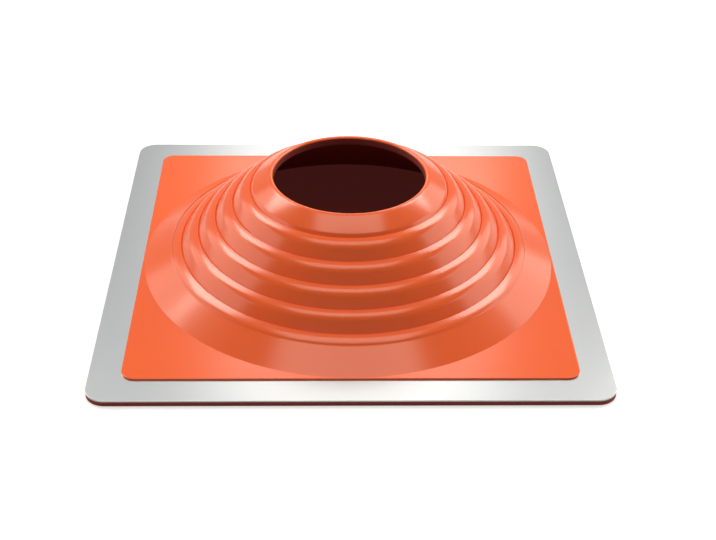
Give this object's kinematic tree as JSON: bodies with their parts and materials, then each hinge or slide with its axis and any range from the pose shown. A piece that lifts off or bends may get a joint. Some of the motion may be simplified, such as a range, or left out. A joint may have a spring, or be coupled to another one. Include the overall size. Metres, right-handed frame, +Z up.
{
  "type": "pipe flashing boot",
  "caption": "Square roof flashing boot: a stepped silicone cone with a round pipe opening, on a flange with a flat metal rim frame.",
  "frame": {"origin": "centre of the square base, on the plane of the underside", "axes": "+Z up along the axis of the cone and of the pipe opening, +X and +Y parallel to the sides of the base"},
  "size_m": [0.28, 0.28, 0.0598],
  "materials": {
    "silicone": "moulded silicone rubber, smooth satin",
    "frame": "mill finish sheet, satin"
  },
  "bodies": {
    "root": {"silicone_boot": "silicone", "metal_frame": "frame"}
  },
  "joints": []
}
